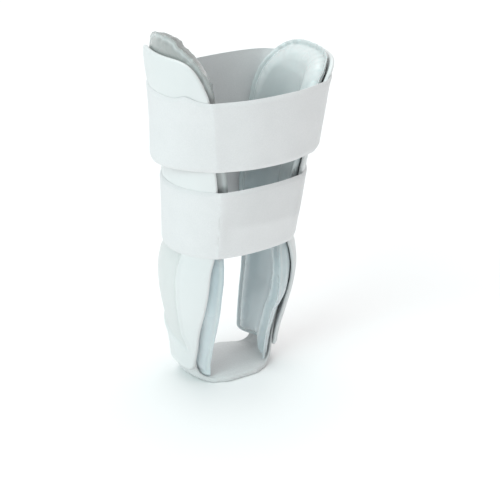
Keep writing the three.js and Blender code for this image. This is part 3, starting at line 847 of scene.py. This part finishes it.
def lower_nap_shade(path, up):
    """Painted shade and painted light on the lower strap's front, standing in for the dip's shading: from 0,
    painted shade, above the dip to 1, painted light, below it.
    """
    x, y = path.T
    inside = ease((x - NAP_SHADE_FROM) / 24) * ease((NAP_SHADE_TO - x) / 12) * (y < 0)
    return 0.5 + inside * (ease((dip_line(path) + 2 - up) / NAP_SHADE_TURN) - 0.5)


slit_middle = SLIT_SHARE * SHELL_HEIGHT
upper_low = slit_middle + STRAP_SLIT / 2
lower_low = slit_middle - STRAP_SLIT / 2 - STRAP_WIDTH
make_strap("upper_strap", upper_low, CLOTH_FLARE, STRAP_ARCH, UPPER_BOW, UPPER_SEED)
make_strap("lower_strap", lower_low, 0.0, 0.0, LOWER_BOW, LOWER_SEED, lower_crease, lower_nap_shade)


# Strap under the heel

HEEL_ROW = 1.2
HEEL_ROUND = 1.2
QUILT_DEPTH = 0.35
QUILT_PLACE = 4.0  # of the sewn channel, from the pad's edge
QUILT_WIDTH = 1.2
PAD_NARROWING = 0.35  # share of the narrowing that lies in the pad
PAD_EVEN = 0.4  # share of the pad's half length with the full width
PAD_STEPS = 20
CORNER_STEPS = 16
TIP_SHARE = 0.1  # of a wing's height, over which its tip narrows
TIP_NARROWING = 0.12


def make_heel_strap():
    inward = SHELL_THICKNESS + FIT_GAP
    middle_y = float(section("centre", 0)) * BRACE_DEPTH

    def wing_x(place, height):
        wide, deep, centre, _, _ = oval(height, 1)
        along = (middle_y + place * HEEL_WING_WIDTH / 2 - centre) / (deep - inward)
        return (wide - inward) * np.sqrt(1 - along**2)

    places = packed_shares(HEEL_PAD_WIDTH, HEEL_ROW, HEEL_ROUND, 4) * 2 - 1
    steps = [("pad", share) for share in np.linspace(0, 1, PAD_STEPS)]
    steps += [("corner", share) for share in np.linspace(0, 1, CORNER_STEPS)[1:]]
    steps += [("wing", share) for share in packed_shares(HEEL_WING_HEIGHT, HEEL_ROW, 1.0, 4)[5:]]
    both = [(*step, -1) for step in steps[:0:-1]] + [(*step, 1) for step in steps]
    under, over, coords = [], [], []
    run = 0.0
    for part, share, side in both:
        narrowing = {
            "pad": PAD_NARROWING * ease((share - PAD_EVEN) / (1 - PAD_EVEN)),
            "corner": PAD_NARROWING + (1 - PAD_NARROWING) * share,
            "wing": 1.0,
        }[part]
        width = HEEL_PAD_WIDTH + (HEEL_WING_WIDTH - HEEL_PAD_WIDTH) * ease(narrowing)
        at_tip = max(0.0, (share - (1 - TIP_SHARE)) / TIP_SHARE) if part == "wing" else 0.0
        tip = TIP_NARROWING * at_tip**2
        width *= 1 - tip
        thinning = {"pad": 0.0, "corner": share, "wing": 1.0}[part]
        full = HEEL_PAD_THICKNESS + (HEEL_WING_THICKNESS - HEEL_PAD_THICKNESS) * thinning
        edge = (1 - np.abs(places)) * width / 2
        if part == "wing":
            edge = np.minimum(edge, (1 - share) * HEEL_WING_HEIGHT)
        half = full / 2 * round_edge(edge, HEEL_ROUND)
        channel = 1 - ease(np.abs(edge - QUILT_PLACE) / QUILT_WIDTH)
        quilt = QUILT_DEPTH * channel * (part != "wing")
        wing_place = places * (1 - tip) if part == "wing" else places
        flat = wing_x(wing_place, 0) - HEEL_DROP
        angle = share * math.pi / 2
        if part == "pad":
            x, z, in_x, in_z = share * flat, 0.0, 0.0, 1.0
        elif part == "corner":
            x, z = flat + HEEL_DROP * math.sin(angle), HEEL_DROP * (1 - math.cos(angle))
            in_x, in_z = -math.sin(angle), math.cos(angle)
        else:
            x, z = wing_x(wing_place, share * HEEL_WING_HEIGHT), HEEL_DROP + share * HEEL_WING_HEIGHT
            in_x, in_z = -1.0, 0.0
        y = middle_y + places * width / 2
        for rows, depth in ((under, full / 2 - half), (over, full / 2 + half - quilt)):
            rows.append(np.stack([side * (x + in_x * depth), y, z + in_z * depth], -1))
        if len(over) > 1:
            run += float(np.linalg.norm(over[-1][len(places) // 2] - over[-2][len(places) // 2]))
        coords.append(np.column_stack([np.full(len(places), run * MM), y * MM]))
    under, over = np.array(under), np.array(over)
    border = np.zeros(under.shape[:2], bool)
    border[0] = border[-1] = border[:, 0] = border[:, -1] = True
    over[border] = under[border]
    verts, faces = between_grids(under, over)
    uvs = np.concatenate([np.array(coords).reshape(-1, 2)] * 2)
    obj = new_object("heel_strap_cloth", verts, faces, HEEL_CLOTH, uvs, "heel_strap")


make_heel_strap()


# Floor and light

FLOOR_HALF = 60.0  # metres
WORLD_STRENGTH = 0.42


def make_floor():
    mesh = bpy.data.meshes.new("floor")
    corners = [(x * FLOOR_HALF, y * FLOOR_HALF, 0) for x, y in ((-1, -1), (1, -1), (1, 1), (-1, 1))]
    mesh.from_pydata(corners, [], [(0, 1, 2, 3)])
    floor = bpy.data.objects.new("floor", mesh)
    bpy.context.scene.collection.objects.link(floor)
    mat, tree, shader = node_material("floor_paper", (0.95, 0.95, 0.95), 0.9)
    place = link_new(tree, "ShaderNodeTexCoord").outputs["Object"]
    color = ramp(tree, noise(tree, place, 2.0), ((0.3, grey(0.94)), (0.7, grey(0.96))))
    tree.links.new(color, shader.inputs["Base Color"])
    mesh.materials.append(mat)


def soft_sun(name, place, strength, spread, color=(1, 1, 1)):
    """A wide soft light from one direction: strength as a share of a world of the same brightness."""
    light = bpy.data.lights.new(name, "SUN")
    light.angle = math.radians(spread)
    light.energy = strength * math.pi
    light.color = color
    obj = bpy.data.objects.new(name, light)
    bpy.context.scene.collection.objects.link(obj)
    obj.location = place
    obj.rotation_mode = "QUATERNION"
    obj.rotation_quaternion = Vector(place).to_track_quat("Z", "Y")


make_floor()
soft_sun("key", (-1.6, -0.42, 1.2), 0.42, 40, (0.8, 1, 1))
soft_sun("overhead", (0.3, 0.3, 2.2), 0.53, 60)
world = bpy.data.worlds.new("studio")
world.use_nodes = True
background = world.node_tree.nodes["Background"]
background.inputs["Color"].default_value = (1, 1, 1, 1)
background.inputs["Strength"].default_value = WORLD_STRENGTH
bpy.context.scene.world = world
bpy.context.scene.view_settings.view_transform = "Standard"
